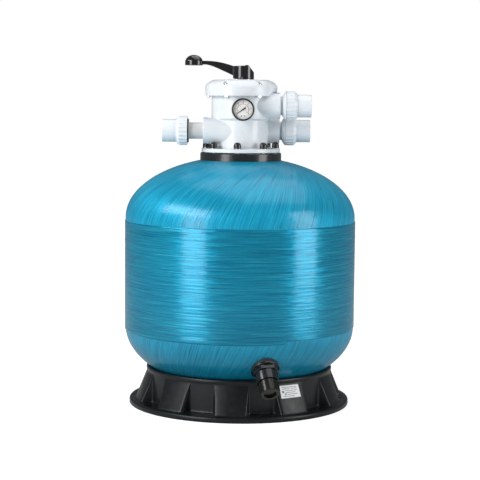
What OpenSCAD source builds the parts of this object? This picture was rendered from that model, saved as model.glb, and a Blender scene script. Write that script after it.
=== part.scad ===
// Top-mount pool sand filter: wound tank on a moulded stand, with a six-way valve,
// three pipe unions, a pressure gauge and a two-stage drain.
// Millimetres. +Z is up, the floor is z = 0 and the tank's axis is the Z axis.
// The gauge and the drain face -Y, the waste port points to -X, the other two ports to +X.

/* [Tank] */
// Outside diameter over the hoop winding
tank_d = 627; // [620:1:634]
// Height of the straight wall between the domes
wall_h = 297; // [285:1:310]
// Height of the top dome
top_dome_h = 165; // [160:1:168]
// Height of the bottom dome
bottom_dome_h = 172; // [170:1:174]
// Thickness of the shell
shell_t = 6; // [5:0.5:7]
// Thickness of the hoop winding round the wall
hoop_t = 2; // [1.5:0.5:2.5]
// Gap between the bottom dome and the floor
floor_gap = 39; // [38:1:42]

/* [Stand] */
// Diameter of the stand's flange on the floor
stand_d = 600; // [596:1:610]
// Height of the stand's rim
stand_h = 103; // [100:1:104]
// Outside diameter of the rim
rim_d = 504; // [502:1:508]
// Wall thickness of the stand
stand_wall = 5; // [4:0.5:6]
// Number of lobes round the stand
lobes = 10; // [8:2:12]

/* [Valve] */
// Diameter of the valve's bottom flange
valve_flange_d = 213; // [211:1:216]
// Diameter of the lower chamber
lower_d = 144; // [143:1:146]
// Diameter of the upper chamber
upper_d = 160; // [159:1:162]
// Height that the handle lifts the rotor
rotor_lift = 4; // [3.8:0.1:4.2]

/* [Ports] */
// Sideways offset of each port from the valve's axis
port_offset = 33; // [32:0.5:34]
// Height of the upper port above the two lower ones
port_rise = 68; // [67:0.5:68.5]
// Outside diameter of the pipe that the sockets take
pipe_d = 50; // [49:0.5:50.5]
// Grip ribs round each union nut
nut_ribs = 22; // [12:1:26]

/* [Drain] */
// Angle of the drain round the tank, from the front towards +X
drain_turn = 13.7; // [12:0.1:16]
// Angle of the drain's axis below the horizontal
drain_dip = 45; // [43:1:46]

/* [Gauge] */
// Diameter of the gauge over its bezel
gauge_d = 60; // [59:1:62]
// Sideways offset of the gauge from the valve's axis
gauge_x = 5; // [3:0.5:6]
// Resting angle of the needle below the horizontal
needle_rest = 34; // [30:1:45]

/* [Hidden] */
$fn = 96;
fine = 20;
clear = 0.3;
fit = 0.05;
seam = 0.2;
eps = 1;

// Tank radii and levels
shell_r = tank_d / 2 - hoop_t;
wall_z0 = floor_gap + bottom_dome_h;
wall_z1 = wall_z0 + wall_h;
dome_steps = 24;
hoop_z0 = wall_z0 - 7.5;
hoop_step = 8;
hoop_z1 = wall_z1 - 8.5;
neck_r = 110;
neck_hole_r = 80;
neck_bore_r = 72;
neck_top = wall_z1 + top_dome_h + 10;
neck_seal_r = 80;
stud_count = 8;
stud_circle_r = 94;
stud_phase = -5.4;
stud_r = 4;

// Internals
pipe_r = 25;
pipe_wall = 3;
pipe_z0 = 100;
lateral_count = 8;
lateral_r = 13;
lateral_z = 92;
lateral_in = 36;
lateral_out = 172;
lateral_slots = 10;
hub_r = 52;
hub_z0 = 74;
hub_h = 42;
diffuser_r = 62;
diffuser_z = neck_top - 83;
diffuser_h = 55;
diffuser_slots = 24;

// Stand
rim_r = rim_d / 2;
rim_band_h = 12;
plate_h = 31;
plate_turn = 10.9;
plate_angle = 12.9;
lobe_step = 360 / lobes;
lobe_phase = drain_turn + lobe_step / 2;
lobe_foot_r = rim_r + 38;
lobe_half_in = rim_r * sin(lobe_step * 0.286);
lobe_half_out = lobe_half_in - 4;
flange_h = 14;
flange_t = 6;
seat_in = 13;
seat_out = 11;
anchor_count = lobes / 2;
anchor_r = 273;
anchor_hole_r = 5.5;
anchor_boss_r = 12;

// Valve, heights above its bottom face
valve_z = neck_top + 1.5;
valve_flange_h = 10;
deck_z = valve_z + 84;
step_z = valve_z + 90;
skirt_z = valve_z + 151.2;
flange_z = valve_z + 153.5;
seat_z = valve_z + 161.5;
lid_top = valve_z + 194.8;
lower_r = lower_d / 2;
upper_r = upper_d / 2;
valve_wall = 5;
top_flange_r = 94;
sectors = 6;
centre_tube_r = 30;
lid_screw_count = 6;
lid_screw_r = 88;
lid_screw_phase = 33;
lid_screw_seat = valve_z + 180.5;
lid_boss_z = valve_z + 179.5;

// Ports: side, offset from the axis and height
boss_r = 34.5;
port_z = valve_z + 57.5;
WASTE = [-1, -port_offset, port_z];
PUMP = [1, -port_offset, port_z + port_rise];
RETURN = [1, port_offset, port_z];
boss_right = 105;
boss_left = 102;
bore_start = 38;
glass_r = 22.4;

// Unions, measured outwards from the inner face of the nut
face_right = 121;
face_left = 144;
bore_r = 20;
thread_r = 33;
thread_len = 15;
seal_r = 26.5;
seal_section = 1.75;
tail_flange_r = 32.6;
tail_flange_end = 21.5;
tail_r = 30.5;
tail_len = 68;
socket_r = pipe_d / 2 + 0.1;
socket_len = 34;
nut_r = 39.5;
nut_body_r = 37.8;
nut_len = 29.8;

// Rotor, spring and handle
shaft_r = 12;
gasket_t = 3;
rotor_z = step_z + 1.1;
rotor_r = upper_r - valve_wall - 3;
rotor_t = 8;
bridge_h = 29;
spring_z0 = rotor_z + rotor_t + 8;
spring_z1 = lid_boss_z - 1.8;
spring_r = 18.5;
spring_wire_r = 2;
spring_turns = 6;
shaft_half = 8;
pin_r = 3;
pin_z = lid_top + 4.2;
grip_r = 28.4;
grip_x = 5.6;
pin_half = 26.5;
arm_half = 7.5;
arm_steps = 10;
knob_x = -128.4;
knob_z = lid_top + 38.1;

// Gauge, measured forwards from the valve's axis
gauge_z = valve_z + 115.5;
gauge_r = gauge_d / 2;
gauge_back = 92;

// Drain, measured outwards along its axis
drain_r = 283;
drain_z = wall_z0 - bottom_dome_h * sqrt(1 - pow(drain_r / shell_r, 2));
drain_tube_r = 22;
drain_bore_r = 15;
spout_r = 18.5;

// ---- shared shapes ----

module ring(r_out, r_in, h, z = 0) {
    translate([0, 0, z]) difference() {
        cylinder(r = r_out, h = h);
        translate([0, 0, -eps]) cylinder(r = r_in, h = h + 2 * eps);
    }
}

module o_ring(r, section, z = 0) {
    translate([0, 0, z]) rotate_extrude($fn = 48) translate([r, 0]) circle(r = section, $fn = fine);
}

module rod(r, h, z = 0) {
    translate([0, 0, z]) cylinder(r = r, h = h);
}

// Copies round the Z axis, the first one at the front turned by phase
module around(count, r, phase = 0) {
    for (i = [0 : count - 1]) rotate([0, 0, phase + i * 360 / count]) translate([0, -r, 0]) children();
}

// A block between two radii and two heights, centred on an angle round the Z axis
module sector(turn, half, r_in, r_out, z0, z1) {
    rotate([0, 0, turn - half - 90]) rotate_extrude(angle = 2 * half) translate([r_in, z0])
        square([r_out - r_in, z1 - z0]);
}

function arc(rx, rz, z, a0, a1) = [
    for (i = [0 : dome_steps])
        let (a = a0 + (a1 - a0) * i / dome_steps)
        [max(0, rx * cos(a)), z + rz * sin(a)]
];

function dome_z(r, inset = 0) = wall_z1 + (top_dome_h - inset) * sqrt(1 - pow(r / (shell_r - inset), 2));

module at_port(port, out = 0) {
    translate([0, port[1], port[2]]) rotate([0, 90 * port[0], 0]) translate([0, 0, out]) children();
}

module at_gauge(out = 0) {
    translate([gauge_x, 0, gauge_z]) rotate([90, 0, 0]) translate([0, 0, out]) children();
}

module at_drain(out = 0) {
    rotate([0, 0, drain_turn]) translate([0, -drain_r, drain_z]) rotate([90 + drain_dip, 0, 0])
        translate([0, 0, out]) children();
}

// ---- stand ----

// The skirt's outside, or its inside when inset is the wall thickness
module skirt(inset, over) {
    translate([0, 0, -over]) cylinder(r = rim_r - inset, h = stand_h + 2 * over);
    intersection() {
        translate([0, 0, -over])
            cylinder(r1 = lobe_foot_r - inset, r2 = rim_r - inset - 0.5, h = stand_h - rim_band_h + over);
        for (i = [0 : lobes - 1]) rotate([0, 0, lobe_phase + i * lobe_step])
            translate([0, 0, -over]) linear_extrude(stand_h) polygon([
                [-lobe_half_in + inset, 20 - rim_r], [-lobe_half_in + inset, -rim_r],
                [-lobe_half_out + inset, -lobe_foot_r - eps], [lobe_half_out - inset, -lobe_foot_r - eps],
                [lobe_half_in - inset, -rim_r], [lobe_half_in - inset, 20 - rim_r]
            ]);
    }
}

module stand_flange() {
    r = stand_d / 2;
    rotate_extrude() polygon([
        [rim_r - stand_wall, flange_h - flange_t], [r - 6, flange_h - flange_t], [r - 6, 0], [r, 0],
        [r, flange_h - 4], [r - 1.5, flange_h - 1.2], [r - 4.5, flange_h], [rim_r - stand_wall, flange_h]
    ]);
}

// The rounded band round the rim
module stand_rim() {
    rotate_extrude() polygon([
        [rim_r - stand_wall, stand_h - rim_band_h], [rim_r + 1, stand_h - rim_band_h],
        [rim_r + 1.5, stand_h - rim_band_h + 1.5], [rim_r + 1.5, stand_h - 3], [rim_r + 0.5, stand_h - 0.8],
        [rim_r - 1, stand_h], [rim_r - stand_wall, stand_h]
    ]);
}

// The sloping seat that the bottom dome rests on, and the gussets under it
module stand_seat() {
    dome = arc(shell_r, -bottom_dome_h, wall_z0 - seam, 0, 90);
    top = [for (i = [seat_out : seat_in]) dome[i]];
    r_in = dome[seat_in][0];
    z_in = dome[seat_in][1];
    z_out = dome[seat_out][1];
    rotate_extrude() polygon(concat(
        [[rim_r - stand_wall + 1, z_out]], top,
        [[r_in, z_in - 8], [rim_r - stand_wall + 1, z_out - 9]]
    ));
    for (i = [0 : lobes - 1]) rotate([0, 0, drain_turn + i * lobe_step]) rotate([90, 0, -90])
        translate([0, 0, -2]) linear_extrude(4) polygon([
            [r_in + 2, z_in - 5], [rim_r - stand_wall + 1, z_out - 5], [rim_r - stand_wall + 1, 20]
        ]);
}

module stand() color("#1c1e20") {
    difference() {
        union() {
            difference() {
                union() {
                    skirt(0, 0);
                    stand_flange();
                    stand_rim();
                }
                skirt(stand_wall, eps);
            }
            stand_seat();
            around(anchor_count, anchor_r, drain_turn) cylinder(r = anchor_boss_r, h = flange_h, $fn = 32);
        }
        around(anchor_count, anchor_r, drain_turn) translate([0, 0, -eps])
            cylinder(r = anchor_hole_r, h = flange_h + 2 * eps, $fn = 32);
    }
}

module data_plate() color("#f2f2ee") {
    slope = (lobe_foot_r - rim_r + 0.5) / (stand_h - rim_band_h);
    z1 = stand_h - rim_band_h - 5;
    z0 = z1 - plate_h;
    r0 = lobe_foot_r - slope * z0 + 0.1;
    r1 = lobe_foot_r - slope * z1 + 0.1;
    rotate([0, 0, drain_turn + plate_turn - 90]) rotate_extrude(angle = plate_angle)
        polygon([[r0, z0], [r0 + 0.7, z0], [r1 + 0.7, z1], [r1, z1]]);
}

// ---- tank ----

// The shell's wall, grown by a gap when other parts are cut to it
module shell_wall(gap = 0) {
    r_out = shell_r + gap;
    r_in = shell_r - shell_t - gap;
    top_out = acos(neck_hole_r / r_out);
    top_in = acos(neck_hole_r / r_in);
    rotate_extrude() polygon(concat(
        arc(r_out, bottom_dome_h + gap, wall_z0, -90, 0),
        arc(r_out, top_dome_h + gap, wall_z1, 0, top_out),
        arc(r_in, top_dome_h - shell_t - gap, wall_z1, top_in, 0),
        arc(r_in, bottom_dome_h - shell_t - gap, wall_z0, 0, -90)
    ));
}

module tank_shell() color("#1f84b8") {
    difference() {
        shell_wall();
        at_drain(-30) cylinder(r = drain_tube_r + clear, h = 50, $fn = 48);
    }
}

// The band's lower edge, where the last wrap ends part of the way round
module hoop_winding() color("#1b7db2") {
    difference() {
        ring(tank_d / 2, shell_r + fit, hoop_z1 - hoop_z0, hoop_z0);
        sector(22 + 70, 70, shell_r - 4, tank_d / 2 + 4, hoop_z0 - 4, hoop_z0 + hoop_step);
    }
}

// Screwed insert that the shell is wound round
module neck_flange() color("#1c1e20") {
    difference() {
        rotate_extrude() polygon([
            [neck_bore_r, neck_top - 38], [92, neck_top - 38], [92, dome_z(92, shell_t) - seam],
            [neck_hole_r - seam, dome_z(neck_hole_r, shell_t) - seam],
            [neck_hole_r - seam, dome_z(neck_hole_r) + seam], [95, dome_z(95) + seam],
            [neck_r, dome_z(neck_r) + seam], [neck_r, neck_top - 2], [neck_r - 2, neck_top],
            [neck_bore_r, neck_top]
        ]);
        around(stud_count, stud_circle_r, stud_phase) rod(6.55, 20, neck_top - 14);
        ring(neck_seal_r + 3.1, neck_seal_r - 3.1, 10, neck_top - 4.5);
    }
}

module neck_inserts() color("#b8934a") {
    around(stud_count, stud_circle_r, stud_phase) ring(6.5, stud_r + fit, 13.8, neck_top - 13.9, $fn = 32);
}

module neck_o_ring() color("#202224") o_ring(neck_seal_r, 2.9, neck_top - 1.45);

// ---- inside the tank ----

module standpipe() color("#e4e4e0") ring(pipe_r, pipe_r - pipe_wall, valve_z + 15 - pipe_z0, pipe_z0);

module lateral_hub() color("#e4e4e0") {
    difference() {
        rod(hub_r, hub_h, hub_z0);
        rod(bore_r, hub_h - 10, hub_z0 + 6);
        rod(pipe_r + fit, hub_h, pipe_z0 - 0.1);
        around(lateral_count, 0) translate([0, 0, lateral_z]) rotate([90, 0, 0]) {
            rod(lateral_r + fit, hub_r, lateral_in - 0.1, $fn = 32);
            rod(9, hub_r, 10, $fn = 32);
        }
    }
}

module laterals() color("#e4e4e0") {
    pitch = (lateral_out - hub_r - 12) / lateral_slots;
    around(lateral_count, 0) translate([0, 0, lateral_z]) rotate([90, 0, 0]) difference() {
        rod(lateral_r, lateral_out - lateral_in, lateral_in, $fn = 32);
        rod(lateral_r - 2.5, lateral_out - lateral_in - 3, lateral_in - eps, $fn = 32);
        for (i = [0 : lateral_slots - 1]) translate([-lateral_r, -lateral_r - eps, hub_r + 6 + i * pitch])
            cube([2 * lateral_r, 9, 2]);
    }
}

module top_diffuser() color("#e4e4e0") {
    difference() {
        rod(diffuser_r, diffuser_h, diffuser_z);
        rod(diffuser_r - 3, diffuser_h, diffuser_z + 4);
        rod(pipe_r + fit, diffuser_h, diffuser_z - eps);
        around(diffuser_slots, diffuser_r) translate([-1.5, -5, diffuser_z + 8])
            cube([3, 10, diffuser_h - 16]);
    }
}

// ---- valve body ----

module valve_outside() {
    rod(valve_flange_d / 2, valve_flange_h, valve_z);
    rod(neck_bore_r - clear, 10, valve_z - 9);
    rod(lower_r, step_z - valve_z + 1, valve_z);
    translate([0, 0, step_z - 4]) cylinder(r1 = lower_r, r2 = upper_r, h = 4.5);
    rod(upper_r, seat_z - step_z, step_z);
    rod(top_flange_r, seat_z - flange_z, flange_z);
    at_port(WASTE) cylinder(r = boss_r, h = boss_left, $fn = 64);
    at_port(PUMP) cylinder(r = boss_r, h = boss_right, $fn = 64);
    at_port(RETURN) cylinder(r = boss_r, h = boss_right, $fn = 64);
    at_gauge(60) cylinder(r = 11, h = 24, $fn = 32);
}

module valve_inside() {
    floor_z = valve_z + valve_flange_h;
    rod(pipe_r + fit, deck_z - valve_z, valve_z - 10);
    rod(upper_r - valve_wall, 100, step_z);
    for (i = [0 : sectors - 1]) {
        turn = i * 360 / sectors;
        sector(turn, 27, centre_tube_r, lower_r - valve_wall, floor_z, deck_z);
        sector(turn, 24, 24, 60, deck_z - eps, step_z + eps);
    }
    sector(0, 22, 34, 64, valve_z - 10, floor_z + eps);
    sector(180, 20, 20, 32, floor_z + 10, deck_z - 10);
    at_port(WASTE, bore_start) cylinder(r = glass_r + fit, h = 90, $fn = 64);
    at_port(PUMP, bore_start) cylinder(r = pipe_r, h = 90, $fn = 64);
    at_port(RETURN, bore_start) cylinder(r = pipe_r, h = 90, $fn = 64);
    at_gauge(60) cylinder(r = 6.55, h = 40, $fn = 32);
}

module valve_body() color("#e9ecee") {
    difference() {
        valve_outside();
        valve_inside();
        gasket_form(0.1, gasket_t);
        ring(valve_flange_d / 2 + eps, valve_flange_d / 2 - 1, 1, valve_z + 4);
        ring(neck_seal_r + 2.1, neck_seal_r - 2.1, 10, seat_z - 4);
        around(stud_count, stud_circle_r, stud_phase) rod(stud_r + clear, 20, valve_z - eps, $fn = 32);
        around(lid_screw_count, lid_screw_r, lid_screw_phase) rod(3 + clear, 20, flange_z - eps, $fn = 32);
    }
}

// Raised arrow on the top of each port's boss
module arrow_pad(port, end, way) {
    intersection() {
        at_port(port) ring(boss_r + 0.9, boss_r + fit, end - 2, 1, $fn = 64);
        translate([port[0] * (end - 8), port[1], port[2]]) scale([way, 1, 1]) linear_extrude(boss_r + 5)
            polygon([[-6, -3.5], [0, -3.5], [0, -8], [7, 0], [0, 8], [0, 3.5], [-6, 3.5]]);
    }
}

module flow_arrows() color("#2b6fb5") {
    arrow_pad(WASTE, boss_left, -1);
    arrow_pad(PUMP, boss_right, -1);
    arrow_pad(RETURN, boss_right, 1);
}

module flange_studs() color("#b9bcc0") {
    around(stud_count, stud_circle_r, stud_phase) rod(stud_r, 36, valve_z - 14, $fn = 32);
}

module flange_washers() color("#b9bcc0") {
    around(stud_count, stud_circle_r, stud_phase)
        ring(10.5, stud_r + clear, 1.4, valve_z + valve_flange_h + fit, $fn = 48);
}

module flange_cap_nuts() color("#141516") {
    z = valve_z + valve_flange_h + 1.5;
    around(stud_count, stud_circle_r, stud_phase) translate([0, 0, z]) difference() {
        rotate_extrude($fn = 48) polygon([
            [0, 0], [9.5, 0], [10, 0.6], [10, 8.5], [9.3, 11.5], [7.6, 14.2], [5, 16.1], [2.2, 16.9], [0, 17]
        ]);
        rod(stud_r + fit, 13, -eps, $fn = 32);
    }
}

// ---- rotor, spring and lid ----

// Two rims joined by spokes, or the groove for them when gap is more than nothing
module gasket_form(gap, t) {
    difference() {
        ring(66 + gap, 17.5 - gap, t, step_z - 2);
        for (i = [0 : sectors - 1])
            sector(i * 360 / sectors, 27 - 2 * gap, 22.5 + gap, 61 - gap, step_z - 4, step_z + t);
    }
}

module spider_gasket() color("#2a2c2e") gasket_form(0, gasket_t);

module rotor() color("#3a3d40") {
    difference() {
        union() {
            rod(rotor_r, rotor_t, rotor_z);
            rod(16, spring_z0 - rotor_z - 1.6, rotor_z);
            rod(shaft_r, pin_z + 12 - rotor_z, rotor_z);
            sector(150, 54, 25, 64, rotor_z, rotor_z + bridge_h);
        }
        sector(60, 24, 26, 60, rotor_z - eps, rotor_z + rotor_t + eps);
        sector(150, 50, 28, 60, rotor_z - eps, rotor_z + bridge_h - 4);
        for (z = [lid_boss_z + 5, lid_boss_z + 10]) ring(shaft_r + eps, shaft_r - 2.1, 2.6, z - 1.3);
        translate([-20, shaft_half, lid_top + 1.4 - rotor_lift]) cube([40, 20, 40]);
        translate([-20, -20 - shaft_half, lid_top + 1.4 - rotor_lift]) cube([40, 20, 40]);
        translate([0, 20, pin_z]) rotate([90, 0, 0]) cylinder(r = pin_r + fit, h = 40, $fn = 32);
    }
}

module shaft_o_rings() color("#202224") {
    for (z = [lid_boss_z + 5, lid_boss_z + 10]) o_ring(shaft_r - 1.06, 0.98, z);
}

// One closed tube swept along a helix
module spring() color("#c4c7ca") {
    steps = 20;
    sides = 8;
    count = steps * spring_turns;
    rise = (spring_z1 - spring_z0 - 2 * spring_wire_r - 0.2) / count;
    points = [
        for (i = [0 : count]) for (j = [0 : sides - 1])
            let (a = i * 360 / steps, b = j * 360 / sides, r = spring_r + spring_wire_r * cos(b))
            [r * cos(a), r * sin(a), spring_z0 + spring_wire_r + 0.1 + i * rise + spring_wire_r * sin(b)]
    ];
    tube = [
        for (i = [0 : count - 1]) for (j = [0 : sides - 1])
            let (k = (j + 1) % sides)
            [i * sides + j, i * sides + k, (i + 1) * sides + k, (i + 1) * sides + j]
    ];
    first = [for (j = [sides - 1 : -1 : 0]) j];
    last = [for (j = [0 : sides - 1]) count * sides + j];
    polyhedron(points, concat(tube, [first, last]), convexity = 10);
}

module spring_washer_lower() color("#b9bcc0") ring(22.5, shaft_r + fit, 1.4, spring_z0 - 1.5);

module spring_washer_upper() color("#b9bcc0") ring(22.5, shaft_r + clear, 1.4, spring_z1 + 0.1);

module lid() color("#e9ecee") {
    r = top_flange_r + 0.4;
    shaft_bore = shaft_r + fit;
    difference() {
        rotate_extrude() polygon([
            [shaft_bore, lid_boss_z], [24, lid_boss_z], [24, lid_top - 6], [64, lid_top - 6],
            [74, lid_top - 13], [75, seat_z + seam], [r, seat_z + seam], [r, skirt_z],
            [95.8, skirt_z], [97.8, lid_top - 22],
            [98, lid_top - 19.5], [97.2, lid_top - 17.5], [94.5, lid_top - 12.5], [90, lid_top - 8],
            [84, lid_top - 4.2], [78, lid_top - 1.6], [72, lid_top], [shaft_bore, lid_top]
        ]);
        around(lid_screw_count, lid_screw_r, lid_screw_phase) {
            rod(3 + clear, 60, skirt_z, $fn = 32);
            rod(7.5, 40, lid_screw_seat, $fn = 32);
        }
        intersection() {
            at_port(PUMP, bore_start) cylinder(r = boss_r + 4.5, h = 80, $fn = 64);
            ring(120, r - fit, 60, skirt_z - 20);
        }
    }
}

module lid_o_ring() color("#202224") o_ring(neck_seal_r, 1.95, seat_z - 1.9);

module lid_screws() color("#b9bcc0") {
    around(lid_screw_count, lid_screw_r, lid_screw_phase) difference() {
        union() {
            rod(3, lid_screw_seat - flange_z + 8, flange_z - 7.5, $fn = 32);
            rod(5, 4, lid_screw_seat + fit, $fn = 32);
        }
        rod(2.6, 5, lid_screw_seat + 1.5, $fn = 6);
    }
}

module lid_nuts() color("#b9bcc0") {
    around(lid_screw_count, lid_screw_r, lid_screw_phase) difference() {
        rod(5.6, 5.5, flange_z - 5.6, $fn = 6);
        rod(3 + fit, 10, flange_z - 8, $fn = 32);
    }
}

module thrust_washer() color("#b9bcc0") ring(38, shaft_r + clear, 1, lid_top + 0.1);

function bezier(a, b, c, d) = [
    for (i = [0 : arm_steps])
        let (t = i / arm_steps, s = 1 - t)
        s * s * s * a + 3 * s * s * t * b + 3 * s * t * t * c + t * t * t * d
];

// A round hub cut to its profile, and a curved arm, both seen from the front.
// The heel on the left of the hub lifts the rotor as the arm goes down.
module handle() color("#141517") {
    z = lid_top;
    top = bezier([-100, z + 50.4], [-75, z + 50.6], [-52, z + 48], [-20, z + 36.4]);
    under = bezier([-20, z + 10.6], [-70, z + 33], [-84, z + 40.4], [-100, z + 40.4]);
    difference() {
        union() {
            intersection() {
                translate([0, grip_r + eps, 0]) rotate([90, 0, 0]) linear_extrude(2 * grip_r + 2 * eps)
                    polygon([
                        [-30, z + 6.4], [-22.6, z + 4.4], [-15.8, z + 1.4], [40, z + 1.4], [40, z + 12],
                        [18.6, z + 39.7], [10.8, z + 39.7], [10, z + 37.9], [-30, z + 37]
                    ]);
                translate([grip_x, 0, z - eps]) cylinder(r = grip_r, h = 50);
            }
            translate([0, arm_half, 0]) rotate([90, 0, 0]) linear_extrude(2 * arm_half)
                polygon(concat([[-138, z + 50.4]], top, under, [[-138, z + 40.8]]));
        }
        translate([-17, -shaft_half - clear, z]) cube([34, 2 * shaft_half + 2 * clear, 26]);
        translate([0, 30, pin_z]) rotate([90, 0, 0]) cylinder(r = pin_r + fit, h = 60, $fn = 32);
    }
}

module handle_pin() color("#b9bcc0") {
    translate([0, pin_half, pin_z]) rotate([90, 0, 0]) cylinder(r = pin_r, h = 2 * pin_half, $fn = 32);
}

module handle_knob() color("#141517") {
    translate([knob_x, 0, knob_z]) difference() {
        rotate_extrude($fn = 64) polygon([
            [0, 0], [23.6, 0], [24.4, 0.8], [23.9, 12], [22.8, 14.8], [20.6, 18.8], [17, 22.6], [12.3, 25.5],
            [6.4, 27.5], [0, 28.2]
        ]);
        translate([-9.7, -arm_half - 0.1, lid_top + 40.2 - knob_z]) cube([50, 2 * arm_half + 0.2, 10.3]);
    }
}

// ---- gauge ----

module gauge_stem() color("#b8934a") {
    at_gauge(72) difference() {
        union() {
            rod(6.5, 12.2, 0, $fn = 32);
            rod(9, 7.5, 12.1, $fn = 6);
            rod(4, 6, 17, $fn = 32);
        }
        rod(1.5, 30, -eps, $fn = 16);
    }
}

module gauge_case() color("#3a3c40") {
    at_gauge(gauge_back) difference() {
        rod(gauge_r - 1.5, 21);
        rod(gauge_r - 3.5, 30, 2);
        rod(gauge_r - 3, 30, 16);
        rod(4 + fit, 10, -eps, $fn = 32);
    }
}

// Bourdon tube and its block
module gauge_movement() color("#b8934a") {
    at_gauge(gauge_back + 3.2) {
        translate([-6, -7, 0]) cube([12, 14, 8]);
        rotate([0, 0, -60]) rotate_extrude(angle = 250, $fn = 48) translate([18, 3.5]) square([3, 5]);
        rotate([0, 0, -60]) translate([4, 0, 3.5]) cube([16, 3, 3]);
    }
}

module gauge_dial() color("#f6f6f4") {
    at_gauge(gauge_back + 16.1) ring(gauge_r - 3.1, 1.3, 0.8);
}

module gauge_needle() color("#141516") {
    at_gauge(gauge_back) {
        rod(0.9, 7.5, 11.6, $fn = 16);
        rod(2.6, 1.8, 17.6, $fn = 24);
        translate([0, 0, 17.8]) rotate([0, 0, 180 + needle_rest]) linear_extrude(0.9)
            polygon([[-8.5, -2.5], [0, -1.6], [20.5, -0.4], [20.5, 0.4], [0, 1.6], [-8.5, 2.5]]);
    }
}

module gauge_lens() color([0.85, 0.92, 0.95, 0.25]) {
    at_gauge(gauge_back + 21.1) rod(gauge_r - 1.8, 1.8);
}

module gauge_bezel() color("#54575c") {
    at_gauge(gauge_back) rotate_extrude() polygon([
        [gauge_r - 1.45, 14], [gauge_r, 14], [gauge_r, 24.6], [gauge_r - 1, 26.4], [gauge_r - 2.4, 27],
        [gauge_r - 3.6, 26.2], [gauge_r - 4.6, 23.1], [gauge_r - 1.45, 23.1]
    ]);
}

// ---- unions ----

module union_seal() o_ring(seal_r, seal_section, thread_len - 1.65);

// The threaded end, its seal groove and its bore, turned on one profile
module adaptor() {
    rotate_extrude() polygon([
        [bore_r, -38], [pipe_r - fit, -38], [pipe_r - fit, -10], [27, -10], [39.5, -1], [39.5, -0.1],
        [thread_r, -0.1], [thread_r, thread_len],
        [seal_r + 1.9, thread_len], [seal_r + 1.9, thread_len - 3.5],
        [seal_r - 1.9, thread_len - 3.5], [seal_r - 1.9, thread_len], [bore_r, thread_len]
    ]);
}

// The tail's flange, its neck and the socket for the pipe
module tail() {
    z = thread_len + 0.2;
    rotate_extrude() polygon([
        [bore_r, z], [tail_flange_r, z], [tail_flange_r, tail_flange_end], [tail_r, tail_flange_end],
        [tail_r, tail_len - 1], [tail_r - 1, tail_len],
        [socket_r, tail_len], [socket_r, tail_len - socket_len],
        [bore_r, tail_len - socket_len]
    ]);
}

module nut_profile(r) {
    rotate_extrude() polygon([
        [thread_r + 0.4, 0.3], [r, 0.3], [r, nut_len - 8], [r - 2, nut_len - 5], [tail_r + 1.8, nut_len],
        [tail_r + 0.5, nut_len], [tail_r + 0.5, tail_flange_end + clear],
        [thread_r + 0.4, tail_flange_end + clear]
    ]);
}

module nut() {
    nut_profile(nut_body_r);
    intersection() {
        nut_profile(nut_r);
        for (i = [0 : nut_ribs - 1]) rotate([0, 0, (i + 0.5) * 360 / nut_ribs])
            translate([34, -2, 0]) cube([8, 4, nut_len]);
    }
}

module sight_glass() color([0.86, 0.92, 0.94, 0.35]) {
    at_port(WASTE, face_left) rotate_extrude() polygon([
        [glass_r - 2.9, -64], [glass_r, -64], [glass_r, -3.5], [28, -3.5], [28, -0.1], [thread_r, -0.1],
        [thread_r, thread_len], [seal_r + 1.9, thread_len], [seal_r + 1.9, thread_len - 3.5],
        [seal_r - 1.9, thread_len - 3.5], [seal_r - 1.9, thread_len], [glass_r - 2.9, thread_len]
    ]);
}

module sight_glass_washer() color("#1f2123") at_port(WASTE, face_left) ring(32, 28.1, 3.2, -3.4);

module waste_o_ring() color("#202224") at_port(WASTE, face_left) union_seal();

module waste_tail() color("#e9ecee") at_port(WASTE, face_left) tail();

module waste_nut() color("#e9ecee") at_port(WASTE, face_left) nut();

module pump_adaptor() color("#e9ecee") at_port(PUMP, face_right) adaptor();

module pump_o_ring() color("#202224") at_port(PUMP, face_right) union_seal();

module pump_tail() color("#e9ecee") at_port(PUMP, face_right) tail();

module pump_nut() color("#e9ecee") at_port(PUMP, face_right) nut();

module return_adaptor() color("#e9ecee") at_port(RETURN, face_right) adaptor();

module return_o_ring() color("#202224") at_port(RETURN, face_right) union_seal();

module return_tail() color("#e9ecee") at_port(RETURN, face_right) tail();

module return_nut() color("#e9ecee") at_port(RETURN, face_right) nut();

// ---- drain ----

module drain_bulkhead() color("#17181a") {
    at_drain() difference() {
        union() {
            rod(34, 6, -22);
            rod(drain_tube_r, 62, -32);
        }
        rod(drain_bore_r, 70, -33);
        ring(19.6, 16.4, 5, 28);
    }
}

// Two wedge rings, one each side of the shell
module drain_gaskets() color("#26282a") {
    difference() {
        at_drain() ring(36, drain_tube_r + fit, 17.2, -15.9, $fn = 64);
        shell_wall(0.15);
    }
}

module drain_screen() color("#e4e4e0") {
    at_drain(-95) difference() {
        rod(27, 72);
        rod(24.5, 61, 3);
        rod(drain_tube_r + fit, 20, 60);
        for (i = [0 : 7]) translate([-40, -30, 10 + i * 6]) cube([80, 18, 2]);
    }
}

module drain_hex_nut() color("#17181a") {
    at_drain() difference() {
        union() {
            rod(37, 5, 1.4);
            rod(60 / sqrt(3), 11.6, 6.3, $fn = 6);
        }
        rod(drain_tube_r + fit, 30, 0);
    }
}

module drain_o_ring() color("#202224") at_drain() o_ring(18, 1.45, 29.6);

module drain_spout() color("#17181a") {
    at_drain() rotate_extrude() polygon([
        [drain_bore_r - 3, 31.1], [24.4, 31.1], [24.4, 35], [spout_r, 35],
        [spout_r, 63], [drain_bore_r - 3, 63]
    ]);
}

module grip(r, rib, z0, z1, count) {
    for (i = [0 : count - 1]) rotate([0, 0, i * 360 / count])
        translate([r - 2, -1.2, z0]) cube([2 + rib, 2.4, z1 - z0]);
}

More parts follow.
